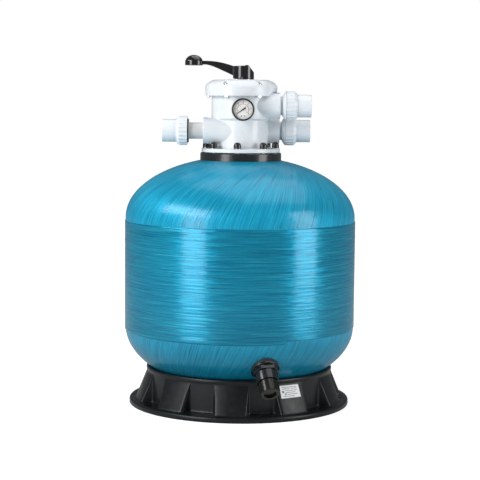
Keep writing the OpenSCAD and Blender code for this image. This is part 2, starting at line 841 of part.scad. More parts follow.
module drain_collar() color("#17181a") {
    at_drain() difference() {
        union() {
            rod(28.6, 26, 19);
            grip(28.6, 1.3, 20, 42, 20);
        }
        rod(drain_tube_r + clear, 20, 18);
        rod(24.8, 6.4, 29);
        rod(spout_r + clear, 20, 30);
    }
}

module drain_cap_seal() color("#202224") at_drain() ring(spout_r - 0.2, drain_bore_r - 2.5, 1.6, 63.1);

module drain_cap() color("#17181a") {
    at_drain() difference() {
        union() {
            translate([0, 0, 47]) cylinder(r = 25.2, h = 31);
            translate([0, 0, 78]) cylinder(r1 = 25.2, r2 = 23.2, h = 2);
            grip(25.2, 1.3, 48, 76, 18);
        }
        rod(spout_r + clear, 18, 46.9);
        rod(16.5, 10, 74);
    }
}

stand();
data_plate();
tank_shell();
hoop_winding();
neck_flange();
neck_inserts();
neck_o_ring();
standpipe();
lateral_hub();
laterals();
top_diffuser();
valve_body();
flow_arrows();
flange_studs();
flange_washers();
flange_cap_nuts();
spider_gasket();
rotor();
shaft_o_rings();
spring();
spring_washer_lower();
spring_washer_upper();
lid();
lid_o_ring();
lid_screws();
lid_nuts();
thrust_washer();
handle();
handle_pin();
handle_knob();
gauge_stem();
gauge_case();
gauge_movement();
gauge_dial();
gauge_needle();
gauge_lens();
gauge_bezel();
sight_glass();
sight_glass_washer();
waste_o_ring();
waste_tail();
waste_nut();
pump_adaptor();
pump_o_ring();
pump_tail();
pump_nut();
return_adaptor();
return_o_ring();
return_tail();
return_nut();
drain_bulkhead();
drain_gaskets();
drain_screen();
drain_hex_nut();
drain_o_ring();
drain_spout();
drain_collar();
drain_cap_seal();
drain_cap();
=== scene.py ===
"""Looks for the sand filter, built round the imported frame. Metres, in the CAD's own frame."""
import math

import bmesh
import bpy
import numpy as np
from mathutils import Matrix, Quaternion, Vector


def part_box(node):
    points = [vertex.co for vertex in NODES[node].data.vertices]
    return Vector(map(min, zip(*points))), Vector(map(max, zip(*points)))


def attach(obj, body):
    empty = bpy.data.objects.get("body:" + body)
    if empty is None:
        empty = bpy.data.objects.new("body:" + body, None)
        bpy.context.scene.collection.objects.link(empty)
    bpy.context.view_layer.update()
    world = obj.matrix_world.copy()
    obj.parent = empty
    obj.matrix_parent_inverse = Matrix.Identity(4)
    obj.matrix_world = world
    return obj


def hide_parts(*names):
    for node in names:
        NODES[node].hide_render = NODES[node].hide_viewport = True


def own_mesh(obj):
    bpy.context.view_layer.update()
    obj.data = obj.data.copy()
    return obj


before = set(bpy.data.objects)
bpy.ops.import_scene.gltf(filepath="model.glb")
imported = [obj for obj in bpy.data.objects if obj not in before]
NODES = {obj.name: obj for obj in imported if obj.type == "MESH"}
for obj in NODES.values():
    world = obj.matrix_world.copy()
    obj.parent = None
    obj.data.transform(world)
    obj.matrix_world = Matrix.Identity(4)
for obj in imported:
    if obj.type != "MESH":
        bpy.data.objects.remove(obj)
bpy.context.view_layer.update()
MM = 0.001

# The tank, in millimetres and degrees
SHELL_R = 311.5
SHELL_T = 6.0
WALL_Z0 = 211.0
WALL_Z1 = 508.0
TOP_DOME = 165.0
BOTTOM_DOME = 172.0
NECK_HOLE_R = 80.0
POLE_R = 30.0
TOP_TANGENT_R = 122.0
BOTTOM_TANGENT_R = 118.0
TANK_COLUMNS = 1080
DOME_ROWS = 110

# The band of hoop winding. Its lower edge is HOOP_STEP higher for HOOP_REACH degrees from HOOP_END on.
HOOP_R = 313.5
HOOP_Z0 = 203.5
HOOP_Z1 = 499.5
HOOP_ROWS = 190
HOOP_STEP = 8.0
HOOP_END = 22.0
HOOP_REACH = 140.0
WRAP_WIDTH = 9.0
WRAP_EDGE = 0.28

# The stand
STAND_TURN = 13.7
STAND_H = 103.0
STAND_T = 5.0
RIM_R = 252.0
RIM_INNER_R = 247.0
FOOT_R = 290.0
BAND_Z = 91.0
FOOT_SLOPE = (FOOT_R - RIM_R + 0.5) / BAND_Z
LOBES = 10
LOBE_STEP = 360 / LOBES
LOBE_HALF_ANGLE = 10.296
LOBE_TAPER = 4.0
LOBE_CORNER = 6.0
FLANGE_H = 14.0
FLOOR_HOLES = 5
FLOOR_HOLE_R = 5.5
FLOOR_HOLE_PLACE_R = 273.0
PLATE_TURN = 10.9
PLATE_T = 0.82
PLATE_ARC_R = 258.0

# The gauge's scales run from -SWEEP to SWEEP, in degrees from straight up
SWEEP = 126.0
SCALE_STEPS = 30
RED_STEPS = 12

# Points closer than this are welded into one, in metres
WELD_GAP = 0.000002

# Light of the room and of the floor
ROOM_LIGHT = 0.16
FLOOR_HALF = 60.0
FLOOR_GLOW_NEAR = 0.70
FLOOR_GLOW_FAR = 0.95
FLOOR_BOUNCE = 0.12

# The camera, in metres, millimetres of lens and degrees
CAMERA_PLACE = (0.0, -4.004, 0.8193)
CAMERA_LENS = 110.4
CAMERA_SENSOR = 36.0
CAMERA_PITCH = 5.35
CAMERA_ROLL = 0.5


# ---- small helpers ----

def smooth_noise(u, v, cells, seed):
    """Value noise that repeats round u (0 to 1) and runs on along v, both arrays, from -1 to 1."""
    rng = np.random.default_rng(seed)
    rows = int(np.ceil(v.max() - v.min())) + 3
    table = rng.uniform(-1, 1, (rows, cells))
    x = (u % 1.0) * cells
    y = v - v.min()
    i = np.floor(x).astype(int)
    j = np.floor(y).astype(int)
    fx = x - i
    fy = y - j
    fx = fx * fx * (3 - 2 * fx)
    fy = fy * fy * (3 - 2 * fy)
    i0 = i % cells
    i1 = (i + 1) % cells
    low = table[j, i0] * (1 - fx) + table[j, i1] * fx
    high = table[j + 1, i0] * (1 - fx) + table[j + 1, i1] * fx
    return low * (1 - fy) + high * fy


def grid_piece(name, points):
    """A closed mesh from an array (rows, columns, 3) in millimetres, joined up both ways."""
    rows, cols = points.shape[:2]
    mesh = bpy.data.meshes.new(name)
    r = np.arange(rows)[:, None]
    c = np.arange(cols)[None, :]
    a = r * cols + c
    b = r * cols + (c + 1) % cols
    d = ((r + 1) % rows) * cols + c
    e = ((r + 1) % rows) * cols + (c + 1) % cols
    faces = np.stack([a, b, e, d], axis=-1).reshape(-1, 4)
    mesh.vertices.add(rows * cols)
    mesh.vertices.foreach_set("co", (points.reshape(-1) * MM).astype(np.float32))
    mesh.loops.add(faces.size)
    mesh.loops.foreach_set("vertex_index", faces.reshape(-1).astype(np.int32))
    mesh.polygons.add(len(faces))
    mesh.polygons.foreach_set("loop_start", np.arange(0, faces.size, 4, dtype=np.int32))
    mesh.update(calc_edges=True)
    mesh.validate()
    mesh.shade_smooth()
    piece = bpy.data.objects.new(name, mesh)
    bpy.context.collection.objects.link(piece)
    return piece


def face_outwards(piece):
    made = bmesh.new()
    made.from_mesh(piece.data)
    bmesh.ops.recalc_face_normals(made, faces=made.faces)
    made.to_mesh(piece.data)
    made.free()


def revolve(name, profile, columns=160):
    """A closed turned piece round the Z axis from a list of (radius, height) in millimetres."""
    turn = np.linspace(0, 2 * np.pi, columns, endpoint=False)
    profile = np.array(profile, float)
    x = profile[:, 0][:, None] * np.cos(turn)
    y = profile[:, 0][:, None] * np.sin(turn)
    z = np.repeat(profile[:, 1][:, None], columns, axis=1)
    piece = grid_piece(name, np.stack([x, y, z], axis=-1))
    face_outwards(piece)
    return piece


def vector_layer(piece, name, values):
    """Stores one vector a point, which a material reads as its pattern's coordinates."""
    layer = piece.data.attributes.new(name, "FLOAT_VECTOR", "POINT")
    layer.data.foreach_set("vector", values.reshape(-1).astype(np.float32))


# ---- materials ----

class Paint:
    """A Principled material with short ways to add the nodes used here."""

    def __init__(self, name, color, rough, metal=0.0, coat=0.0, coat_rough=0.1):
        self.mat = bpy.data.materials.new(name)
        self.mat.use_nodes = True
        self.tree = self.mat.node_tree
        self.shader = self.tree.nodes["Principled BSDF"]
        self.set("Base Color", (*color, 1.0))
        self.set("Roughness", rough)
        self.set("Metallic", metal)
        self.set("Coat Weight", coat)
        self.set("Coat Roughness", coat_rough)

    def set(self, socket, value):
        self.shader.inputs[socket].default_value = value

    def node(self, kind, **values):
        made = self.tree.nodes.new(kind)
        for key, value in values.items():
            setattr(made, key, value)
        return made

    def link(self, out, into):
        self.tree.links.new(out, into)

    def place(self):
        return self.node("ShaderNodeTexCoord").outputs["Object"]

    def layer(self, name):
        return self.node("ShaderNodeAttribute", attribute_name=name).outputs["Vector"]

    def stretch(self, source, scale):
        made = self.node("ShaderNodeMapping")
        made.inputs["Scale"].default_value = scale
        self.link(source, made.inputs["Vector"])
        return made.outputs["Vector"]

    def noise(self, source, scale, detail=3.0, rough=0.5):
        made = self.node("ShaderNodeTexNoise")
        made.inputs["Scale"].default_value = scale
        made.inputs["Detail"].default_value = detail
        made.inputs["Roughness"].default_value = rough
        self.link(source, made.inputs["Vector"])
        return made.outputs["Fac"]

    def ramp(self, source, stops):
        made = self.node("ShaderNodeValToRGB")
        band = made.color_ramp
        while len(band.elements) < len(stops):
            band.elements.new(0.5)
        for element, (place, color) in zip(band.elements, stops):
            element.position = place
            element.color = (*color, 1.0) if len(color) == 3 else color
        self.link(source, made.inputs["Fac"])
        return made.outputs["Color"]

    def spread(self, source, low, high, start=0.0, end=1.0):
        made = self.node("ShaderNodeMapRange")
        made.inputs["From Min"].default_value = start
        made.inputs["From Max"].default_value = end
        made.inputs["To Min"].default_value = low
        made.inputs["To Max"].default_value = high
        self.link(source, made.inputs["Value"])
        return made.outputs["Result"]

    def mix(self, factor, first, second, blend="MIX"):
        made = self.node("ShaderNodeMix", data_type="RGBA", blend_type=blend)
        sockets = (made.inputs["Factor"], made.inputs[6], made.inputs[7])
        for source, into in zip((factor, first, second), sockets):
            if isinstance(source, (int, float)):
                into.default_value = source
            elif isinstance(source, tuple):
                into.default_value = (*source, 1.0)
            else:
                self.link(source, into)
        return made.outputs[2]

    def vector(self, operation, *sources):
        made = self.node("ShaderNodeVectorMath", operation=operation)
        for source, into in zip(sources, made.inputs):
            self.link(source, into)
        return made

    def sway(self, over, amount):
        """The surface's normal, tipped along the fibres by an amount that varies from strand to strand."""
        normal = self.node("ShaderNodeNewGeometry").outputs["Normal"]
        lengthwise = self.vector("CROSS_PRODUCT", over, normal).outputs["Vector"]
        push = self.vector("SCALE", lengthwise)
        self.link(amount, push.inputs["Scale"])
        tipped = self.vector("ADD", normal, push.outputs["Vector"]).outputs["Vector"]
        return self.vector("NORMALIZE", tipped).outputs["Vector"]

    def bump(self, source, distance, strength=1.0, under=None):
        made = self.node("ShaderNodeBump")
        made.inputs["Distance"].default_value = distance
        made.inputs["Strength"].default_value = strength
        self.link(source, made.inputs["Height"])
        if under is not None:
            self.link(under, made.inputs["Normal"])
        self.link(made.outputs["Normal"], self.shader.inputs["Normal"])
        return made.outputs["Normal"]


def moulded(name, color, rough, grain=0.00004, size=900.0, tint=0.06, coat=0.0, shine=0.5):
    """Moulded plastic: a fine skin texture, slow unevenness and a little wear in the gloss."""
    paint = Paint(name, color, rough, coat=coat)
    paint.set("Specular IOR Level", shine)
    place = paint.place()
    slow = paint.noise(place, 14.0, 3.0)
    fine = paint.noise(place, size, 2.0)
    dark = tuple(c * (1 - tint) for c in color)
    light = tuple(min(1.0, c * (1 + tint)) for c in color)
    paint.link(paint.ramp(slow, [(0.35, dark), (0.65, light)]), paint.shader.inputs["Base Color"])
    paint.link(paint.spread(paint.noise(place, 60.0, 4.0), rough * 0.85, rough * 1.2, 0.3, 0.7),
               paint.shader.inputs["Roughness"])
    wavy = paint.bump(paint.noise(place, 26.0, 1.0), 0.0002, 0.25)
    paint.bump(fine, grain, 0.6, under=wavy)
    return paint


def wound(name, cross, along, level, metal_share, rough, coat, tone, lines):
    """Wound glass under clear resin.

    cross and along are the pattern's scales over the fibres and along them. The layer's X and Y run round
    the tank. Its Z runs up the wall, or from the wall to the pole on a dome. With level set, the fibres run
    round the tank, as on the wall.
    """
    paint = Paint(name, WOUND_BLUE, rough, metal=metal_share, coat=coat, coat_rough=0.45 * rough)
    paint.set("Specular IOR Level", 0.1)
    paint.set("Specular Tint", (0.5, 0.85, 0.94, 1.0))
    paint.set("Anisotropic", 0.7)
    over = paint.layer("across")
    paint.link(over, paint.shader.inputs["Tangent"])
    place = paint.layer("fibre")

    def strand(fine, long, detail, rough):
        if level:
            scale = (along * long, along * long, cross * fine)
        else:
            scale = (cross * fine, cross * fine, along * long)
        return paint.noise(paint.stretch(place, scale), 1.0, detail, rough)

    strands = strand(1.0, 1.0, 4.0, 0.62)
    fine = strand(2.4, 2.2, 2.0, 0.6)
    bundles = strand(0.2, 0.5, 2.0, 0.5)
    grooves = strand(1.3, 1.3, 1.0, 0.5)
    sway = strand(0.8, 3.0, 3.0, 0.65)
    base = paint.ramp(strands, [(0.30, (0.002, 0.185, 0.325)), (0.46, (0.004, 0.25, 0.415)),
                                (0.62, (0.010, 0.335, 0.495)), (0.80, (0.10, 0.53, 0.63))])
    # Bundles vary the colour at random. tone scales the whole colour; the dome's higher tone is painted
    # light from above.
    low_tone = tuple(tone * c for c in (0.9, 0.94, 0.96))
    cloudy = paint.ramp(bundles, [(0.3, low_tone), (0.7, (tone, tone, tone))])
    dark = paint.ramp(grooves, [(0.33, (lines, lines, lines)), (0.42, (1.0, 1.0, 1.0))])
    color = paint.mix(1.0, paint.mix(1.0, base, cloudy, "MULTIPLY"), dark, "MULTIPLY")
    # Painted shade: the colour is darkened below 0.3 m above the floor, and fully below 0.1 m.
    height = paint.node("ShaderNodeSeparateXYZ")
    paint.link(paint.place(), height.inputs["Vector"])
    rise = paint.spread(height.outputs["Z"], 0.0, 1.0, 0.1, 0.3)
    shade = paint.ramp(rise, [(0.0, PAINTED_LOW_SHADE), (1.0, (1.0, 1.0, 1.0))])
    paint.link(paint.mix(1.0, color, shade, "MULTIPLY"), paint.shader.inputs["Base Color"])
    gloss = paint.mix(0.5, paint.spread(fine, rough - 0.2, rough + 0.2, 0.32, 0.68),
                      paint.spread(strands, rough - 0.15, rough + 0.15, 0.3, 0.7))
    paint.link(gloss, paint.shader.inputs["Roughness"])
    tilted = paint.sway(over, paint.spread(sway, -0.09, 0.09, 0.3, 0.7))
    low = paint.bump(strands, 0.0005, 0.6, under=tilted)
    low = paint.bump(grooves, 0.0006, 0.5, under=low)
    paint.bump(fine, 0.00016, 0.6, under=low)
    return paint


def metal(name, color, rough):
    """Turned metal with fine uneven polish."""
    paint = Paint(name, color, rough, metal=1.0)
    place = paint.place()
    streaks = paint.noise(paint.stretch(place, (400, 400, 2600)), 1.0, 2.0)
    paint.link(paint.spread(streaks, rough * 0.8, rough * 1.3, 0.3, 0.7), paint.shader.inputs["Roughness"])
    paint.bump(streaks, 0.00002, 0.4)
    return paint


def clear_plastic(name, color, rough, cover):
    """Thin clear plastic: part of the light goes straight through, the rest shows the surface."""
    paint = Paint(name, color, rough, coat=0.3, coat_rough=0.03)
    paint.set("Alpha", cover)
    place = paint.place()
    tone = tuple(c * 0.93 for c in color)
    paint.link(paint.ramp(paint.noise(place, 30.0, 2.0), [(0.35, tone), (0.65, color)]),
               paint.shader.inputs["Base Color"])
    paint.bump(paint.noise(place, 40.0, 2.0), 0.0002, 0.2)
    return paint


WOUND_BLUE = (0.012, 0.29, 0.47)
# Painted shade: the wound surface's colour is made this much darker towards the floor, as if less light
# reached it there
PAINTED_LOW_SHADE = (0.6, 0.64, 0.65)
WHITE = moulded("white_abs", (0.735, 0.775, 0.81), 0.30, tint=0.02, coat=0.15)
LID_WHITE = moulded("white_lid", (0.74, 0.78, 0.815), 0.28, tint=0.02, coat=0.2)
BLACK = moulded("stand_black", (0.006, 0.0075, 0.0085), 0.33, grain=0.00005, size=1100.0, tint=0.25,
                shine=0.3)
NECK = moulded("neck_black", (0.010, 0.012, 0.0135), 0.26, tint=0.2, coat=0.2)
GLOSS_BLACK = moulded("handle_black", (0.008, 0.008, 0.009), 0.16, grain=0.00002, tint=0.2, coat=0.6)
CAP_BLACK = moulded("cap_black", (0.012, 0.012, 0.013), 0.2, tint=0.2, coat=0.3)
DRAIN_BLACK = moulded("drain_black", (0.008, 0.010, 0.012), 0.22, tint=0.25, coat=0.25)
RUBBER = moulded("rubber", (0.018, 0.018, 0.019), 0.62, grain=0.00008, tint=0.2)
INNER = moulded("inner_plastic", (0.72, 0.72, 0.68), 0.45, tint=0.04)
ROTOR_GREY = moulded("rotor_grey", (0.06, 0.065, 0.07), 0.4, tint=0.15)
ARROW = moulded("arrow_blue", (0.004, 0.30, 0.86), 0.45, tint=0.08, shine=0.2)
LABEL = moulded("label_film", (0.86, 0.87, 0.86), 0.4, grain=0.00001, tint=0.02)
STEEL = metal("stainless", (0.62, 0.63, 0.64), 0.24)
BRASS = metal("brass", (0.72, 0.52, 0.24), 0.28)
DARK_CHROME = metal("dark_chrome", (0.036, 0.029, 0.022), 0.22)
CLEAR = clear_plastic("clear_tube", (0.88, 0.88, 0.87), 0.08, 0.62)
LENS = clear_plastic("gauge_glass", (0.98, 0.99, 1.0), 0.02, 0.04)
DIAL = moulded("dial_white", (0.88, 0.885, 0.875), 0.5, grain=0.00001, tint=0.01)
DIAL_INK = moulded("dial_ink", (0.012, 0.012, 0.013), 0.5, grain=0.00001, tint=0.1)
DIAL_RED = moulded("dial_red", (0.55, 0.02, 0.015), 0.5, grain=0.00001, tint=0.05)
LABEL_INK = moulded("label_ink", (0.17, 0.175, 0.18), 0.5, grain=0.00001, tint=0.2)
DRAIN_FACE = moulded("drain_face", (0.009, 0.0085, 0.006), 0.24, tint=0.2, coat=0.2, shine=0.3)
# Painted light: the dome's tone, 1.23 against the hoop's 0.95, makes the domes lighter, as if lit from
# above.
DOME = wound("wound_dome", 0.42, 0.008, False, 0.3, 0.48, 0.6, 1.23, 0.52)
HOOP = wound("wound_hoop", 0.36, 0.0067, True, 0.5, 0.35, 0.5, 0.95, 0.84)


# ---- tank ----

def clairaut(arc_length, radius, neck):
    """How far a geodesic fibre that is tangent to the neck has turned, at each point of the profile."""
    lean = np.clip(neck / radius, 0, 0.995)
    rate = lean / np.sqrt(1 - lean * lean) / radius
    step = np.diff(arc_length, prepend=arc_length[0])
    return np.cumsum(rate * step)


def dome_rows(top):
    """The outside of one dome from the wall inwards: radius, height and length along it."""
    if top:
        angle = np.linspace(0, np.arccos(NECK_HOLE_R / SHELL_R), DOME_ROWS)
        r = SHELL_R * np.cos(angle)
        z = WALL_Z1 + TOP_DOME * np.sin(angle)
    else:
        angle = np.linspace(0, np.pi / 2 - 0.02, DOME_ROWS)
        r = SHELL_R * np.cos(angle)
        z = WALL_Z0 - BOTTOM_DOME * np.sin(angle)
    length = np.concatenate([[0], np.cumsum(np.hypot(np.diff(r), np.diff(z)))])
    return r, z, length


def fibre_relief(r, z, length, turn, top):
    """Points of a dome with strands in relief, the pattern's coordinates and the way across the fibres."""
    neck = TOP_TANGENT_R if top else BOTTOM_TANGENT_R
    off_pole = np.maximum(r, POLE_R)
    lean = clairaut(length, off_pole, neck)
    way = 1.0 if top else -1.0
    phase = turn[None, :] - way * lean[:, None]
    u = (phase / (2 * np.pi)) % 1.0
    v = np.repeat(length[:, None], len(turn), axis=1)
    strand = 0.55 * smooth_noise(u, v / 260.0, 300, 5) + 0.45 * smooth_noise(u, v / 120.0, 131, 6)
    wide = smooth_noise(u, v / 300.0, 23, 7)
    fade = np.clip((r - 84.0) / 40.0, 0, 1)[:, None] if top else 1.0
    lift = (0.14 * strand + 0.22 * wide) * fade
    radius = r[:, None] + lift
    x = radius * np.sin(turn)
    y = -radius * np.cos(turn)
    points = np.stack([x, y, np.repeat(z[:, None], len(turn), axis=1) + lift * 0.5], axis=-1)
    pattern = np.stack([SHELL_R * np.cos(phase), SHELL_R * np.sin(phase), v], axis=-1)
    slope_r = np.gradient(r, length)
    slope_z = np.gradient(z, length)
    lean_sin = np.clip(neck / off_pole, 0, 0.995)
    lean_cos = np.sqrt(1 - lean_sin * lean_sin)
    up = -way * lean_sin
    across = np.stack([(up * slope_r)[:, None] * np.sin(turn) + lean_cos[:, None] * np.cos(turn),
                       -(up * slope_r)[:, None] * np.cos(turn) + lean_cos[:, None] * np.sin(turn),
                       np.repeat((up * slope_z)[:, None], len(turn), axis=1)], axis=-1)
    return points, pattern, across


def plain_rows(rows, turn):
    """Turned points from a list of (radius, height) in millimetres."""
    rows = np.array(rows, float)
    x = rows[:, 0][:, None] * np.sin(turn)
    y = -rows[:, 0][:, None] * np.cos(turn)
    z = np.repeat(rows[:, 1][:, None], len(turn), axis=1)
    return np.stack([x, y, z], axis=-1)


def make_tank():
    """The shell as one closed skin: outside from the bottom to the neck, then inside and back down."""
    turn = np.linspace(0, 2 * np.pi, TANK_COLUMNS, endpoint=False)
    top_r, top_z, top_s = dome_rows(True)
    low_r, low_z, low_s = dome_rows(False)
    low, low_pattern, low_across = [part[::-1] for part in fibre_relief(low_r, low_z, low_s, turn, False)]
    top, top_pattern, top_across = fibre_relief(top_r, top_z, top_s, turn, True)
    inside = [(r * (1 - SHELL_T / SHELL_R), WALL_Z1 + (z - WALL_Z1) * (1 - SHELL_T / TOP_DOME))
              for r, z in zip(top_r[::-6], top_z[::-6])]
    inside += [(r * (1 - SHELL_T / SHELL_R), WALL_Z0 + (z - WALL_Z0) * (1 - SHELL_T / BOTTOM_DOME))
               for r, z in zip(low_r[::6], low_z[::6])]
    inner = plain_rows(inside, turn)
    inner_across = np.full(inner.shape, (0.0, 0.0, 1.0))
    piece = grid_piece("tank_skin", np.concatenate([low, top, inner]))
    vector_layer(piece, "fibre", np.concatenate([low_pattern, top_pattern, inner]))
    vector_layer(piece, "across", np.concatenate([low_across, top_across, inner_across]))
    face_outwards(piece)
    piece.data.materials.append(DOME.mat)
    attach(piece, "filter")
    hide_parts("tank_shell")


def make_hoop():
    """The band of hoop winding, with its narrow wraps in relief and the end of its last wrap."""
    turn = np.linspace(0, 2 * np.pi, TANK_COLUMNS, endpoint=False)
    share = np.linspace(0, 1, HOOP_ROWS)
    ahead = (turn - math.radians(HOOP_END)) % (2 * np.pi)
    short = ahead < math.radians(HOOP_REACH)
    low = np.where(short, HOOP_Z0 + HOOP_STEP, HOOP_Z0)
    low = low + 0.5 * smooth_noise(turn / (2 * np.pi), turn * 0, 40, 3)
    high = HOOP_Z1 + 0.5 * smooth_noise(turn / (2 * np.pi), turn * 0, 36, 4)
    z = low[None, :] + (high - low)[None, :] * share[:, None]
    u = np.repeat((turn / (2 * np.pi))[None, :], HOOP_ROWS, axis=0)
    wrap = z / WRAP_WIDTH
    edge = np.abs(wrap % 1.0 - 0.5) * 2
    each = smooth_noise(u, np.floor(wrap) * 3.7, 5, 11)
    groove = np.clip((edge - 1 + WRAP_EDGE) / WRAP_EDGE, 0, 1) ** 2
    lift = 0.10 * each - 0.32 * groove * (0.55 + 0.45 * smooth_noise(u, wrap, 7, 12))
    lift += 0.13 * smooth_noise(u, z / 2.6, 17, 13) + 0.08 * smooth_noise(u, z / 1.3, 31, 14)
    end = np.clip(np.minimum(z - low, high - z) / 1.6, 0, 1)
    radius = SHELL_R + 0.15 + (HOOP_R - SHELL_R - 0.15 + np.minimum(lift, 0.25) - 0.25) * np.sqrt(end)
    outer = np.stack([radius * np.sin(turn), -radius * np.cos(turn), z], axis=-1)
    inner_z = np.stack([high, low])
    inner_r = SHELL_R - 0.6
    inner = np.stack([np.repeat((inner_r * np.sin(turn))[None, :], 2, axis=0),
                      np.repeat((-inner_r * np.cos(turn))[None, :], 2, axis=0), inner_z], axis=-1)
    points = np.concatenate([outer, inner])
    pattern = np.zeros(points.shape)
    pattern[:, :, 0] = SHELL_R * np.cos(turn)
    pattern[:, :, 1] = SHELL_R * np.sin(turn)
    pattern[:HOOP_ROWS, :, 2] = z
    pattern[HOOP_ROWS:, :, 2] = inner_z
    piece = grid_piece("hoop_skin", points)
    vector_layer(piece, "fibre", pattern)
    vector_layer(piece, "across", np.full(points.shape, (0.0, 0.0, 1.0)))
    face_outwards(piece)
    piece.data.materials.append(HOOP.mat)
    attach(piece, "filter")
    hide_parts("hoop_winding")


# ---- stand ----

def bend(a, corner, b, count):
    """Points of a smooth bend from a to b with the corner as its control point."""
    t = np.linspace(0, 1, count)[:, None]
    return (1 - t) ** 2 * a + 2 * t * (1 - t) * corner + t * t * b


def lobe_outline(foot, inset):
    """One lobe of the stand's wall at one level, and half a panel to each side, in the lobe's own frame."""
    half_in = RIM_R * math.sin(math.radians(LOBE_HALF_ANGLE)) - inset
    half_out = half_in - LOBE_TAPER * min(1.0, (foot - RIM_R) / (FOOT_R - RIM_R))
    rim = RIM_R - inset
    out = max(foot - inset, rim + 0.01)
    a_in = math.asin(half_in / rim)
    a_out = math.asin(half_out / out)
    side_in = np.array([half_in, rim * math.cos(a_in)])
    side_out = np.array([half_out, out * math.cos(a_out)])
    run = side_out - side_in
    length = float(np.hypot(*run))
    run = run / max(length, 1e-6)
    soft = min(LOBE_CORNER, 0.42 * length)
    start = a_in + soft / rim
    stop = a_out - soft / out
    middle = math.radians(LOBE_STEP / 2)
    panel = [np.array([rim * math.sin(a), rim * math.cos(a)]) for a in np.linspace(middle, start, 7)]
    lobe = [np.array([out * math.sin(a), out * math.cos(a)]) for a in np.linspace(stop, 0, 7)]
    first = bend(panel[-1], side_in, side_in + run * soft, 7)
    second = bend(side_out - run * soft, side_out, lobe[0], 7)
    half = np.array(panel[:-1] + list(first) + list(second) + lobe[1:])
    other = half[::-1][1:-1] * np.array([-1, 1])
    return np.concatenate([half, other])


def stand_row(z, foot, inset, grow=0.0):
    """One whole row round the stand's wall."""
    outline = lobe_outline(foot, inset)
    if grow:
        outline = outline * (1 + grow / np.hypot(outline[:, 0], outline[:, 1]))[:, None]
    row = []
    for i in range(LOBES):
        turn = math.radians(STAND_TURN + LOBE_STEP * (i + 0.5))
        x = outline[:, 0] * -math.cos(turn) + outline[:, 1] * math.sin(turn)
        y = outline[:, 0] * -math.sin(turn) - outline[:, 1] * math.cos(turn)
        row.append(np.stack([x, y, np.full(len(x), z)], axis=-1))
    return np.concatenate(row)


def round_row(z, radius, like):
    """A plain circle with its points at the same angles as another row."""
    angle = np.arctan2(like[:, 1], like[:, 0])
    return np.stack([radius * np.cos(angle), radius * np.sin(angle), np.full(len(angle), z)], axis=-1)


def foot_radius(z):
    """The distance of a lobe's sloping face from the axis at one level."""
    return FOOT_R - FOOT_SLOPE * z


# Outlines of the stand's turned parts, as (radius, height)
FLANGE_OUTLINE = (
    (294.0, 0.0), (299.2, 0.0), (300.0, 0.9), (300.0, 9.6), (299.5, 11.6), (298.2, 13.1),
    (296.2, 13.9), (294.5, FLANGE_H),
)
BAND_OUTLINE = (
    (252.3, 92.0), (252.9, 93.2), (253.4, 94.8), (253.5, 96.5), (253.5, 98.6), (253.2, 100.3),
    (252.4, 101.8), (251.2, 102.8), (249.8, STAND_H), (248.2, 102.9), (247.2, 102.2),
    (RIM_INNER_R, 101.0), (RIM_INNER_R, 92.0),
)
SEAT_OUTLINE = (
    (205.6, 73.7), (205.6, 81.4), (220.3, 89.2), (234.0, 97.2), (247.4, 97.4), (247.4, 88.0),
)


def make_stand():
    """The stand as one closed skin: up the outside, over the band, down the inside, under the flange."""
    base = stand_row(FLANGE_H, foot_radius(FLANGE_H), 0.0)
    rows = [round_row(z, radius, base) for radius, z in FLANGE_OUTLINE]
    for z, grow in ((FLANGE_H, 3.0), (14.4, 1.6), (15.4, 0.6), (17.0, 0.0)):
        rows.append(stand_row(z, foot_radius(z), 0.0, grow))
    for z in np.linspace(20.0, BAND_Z, 22):
        rows.append(stand_row(z, foot_radius(z), 0.0))
    rows += [round_row(z, radius, base) for radius, z in BAND_OUTLINE]
    for z, inset in ((BAND_Z - 3.0, STAND_T), (70.0, STAND_T), (45.0, STAND_T), (20.0, STAND_T),
                     (8.0, STAND_T), (0.3, STAND_T), (0.3, 0.6), (8.0, 0.0)):
        rows.append(stand_row(z, foot_radius(z), inset))
    rows.append(round_row(8.0, 293.8, base))
    piece = grid_piece("stand_skin", np.array(rows))
    face_outwards(piece)
    piece.data.materials.append(BLACK.mat)
    turns = [STAND_TURN + 360 / FLOOR_HOLES * i for i in range(FLOOR_HOLES)]
    drill(piece, [(FLOOR_HOLE_PLACE_R, turn) for turn in turns], FLOOR_HOLE_R)
    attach(piece, "filter")
    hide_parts("stand")
    seat = revolve("stand_seat", SEAT_OUTLINE, 120)
    seat.data.materials.append(BLACK.mat)
    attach(seat, "filter")


def drill(piece, places, radius):
    """Cuts upright round holes through the piece at (distance, degrees from the front) pairs."""
    cutter_mesh = bmesh.new()
    for distance, degrees in places:
        a = math.radians(degrees)
        made = bmesh.ops.create_cone(cutter_mesh, segments=32, radius1=radius * MM, radius2=radius * MM,
                                     depth=0.04, cap_ends=True)
        bmesh.ops.translate(cutter_mesh, verts=made["verts"],
                            vec=Vector((distance * math.sin(a) * MM, -distance * math.cos(a) * MM, 0.005)))
    mesh = bpy.data.meshes.new("cutter")
    cutter_mesh.to_mesh(mesh)
    cutter_mesh.free()
    cutter = bpy.data.objects.new("cutter", mesh)
    bpy.context.collection.objects.link(cutter)
    cut = piece.modifiers.new("holes", "BOOLEAN")
    cut.object = cutter
    cut.operation = "DIFFERENCE"
    cut.solver = "EXACT"
    settle(piece)
    bpy.data.objects.remove(cutter)


def settle(piece):
    """Turns the piece's modifiers into its mesh."""
    graph = bpy.context.evaluated_depsgraph_get()
    made = bpy.data.meshes.new_from_object(piece.evaluated_get(graph))
    piece.modifiers.clear()
    piece.data = made


# ---- gauge, label and marks ----

